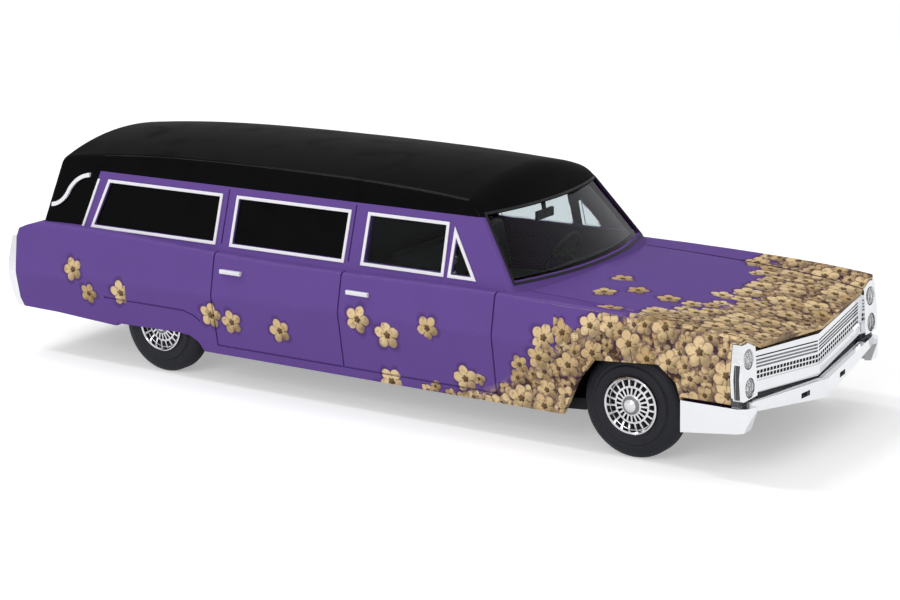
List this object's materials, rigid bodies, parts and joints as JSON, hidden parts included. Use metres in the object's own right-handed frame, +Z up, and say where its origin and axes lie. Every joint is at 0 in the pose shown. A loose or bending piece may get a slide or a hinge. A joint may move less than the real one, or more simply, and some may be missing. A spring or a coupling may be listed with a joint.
{
  "type": "scale model hearse",
  "caption": "Moulded scale model of a long mid-1960s hearse with a hollow cabin, closed rear quarters, plated grille and bumpers, and wheel sets that roll freely.",
  "frame": {"origin": "centre of the overall box on the ground, where the tyres stand", "axes": "+X forward along the car, +Y to its left, +Z up"},
  "size_m": [0.0734, 0.0236, 0.0194],
  "materials": {
    "purple_plastic": "gloss printed moulding",
    "black_gloss": "gloss",
    "clear_plastic": "clear moulding",
    "black_matt": "matt",
    "plated": "bright plating",
    "lamp_clear": "clear moulding",
    "lamp_red": "gloss",
    "silver_print": "silver print",
    "tyre_black": "satin",
    "steel": "drawn pin"
  },
  "bodies": {
    "body": {"body_shell": "purple_plastic", "roof": "black_gloss", "windscreen": "clear_plastic", "front_door_glass": "clear_plastic", "rear_side_glass": "black_gloss", "rear_window": "black_gloss", "cabin_tub": "black_matt", "steering_wheel": "black_matt", "mirror": "black_matt", "base_plate": "black_matt", "front_brightwork": "plated", "headlamps": "lamp_clear", "rear_brightwork": "plated", "tail_lamps": "lamp_red", "door_handles": "silver_print", "landau_bars": "silver_print"},
    "front_wheels": {"front_axle": "steel", "front_left_tyre": "tyre_black", "front_left_wheel": "plated", "front_right_tyre": "tyre_black", "front_right_wheel": "plated"},
    "rear_wheels": {"rear_axle": "steel", "rear_left_tyre": "tyre_black", "rear_left_wheel": "plated", "rear_right_tyre": "tyre_black", "rear_right_wheel": "plated"}
  },
  "joints": [
    {"name": "front_axle_spin", "type": "hinge", "parent": "body", "child": "front_wheels", "pos_m": [0.02585, 0, 0.0041], "axis": [0, 1, 0], "continuous": true},
    {"name": "rear_axle_spin", "type": "hinge", "parent": "body", "child": "rear_wheels", "pos_m": [-0.01995, 0, 0.0041], "axis": [0, 1, 0], "continuous": true}
  ]
}
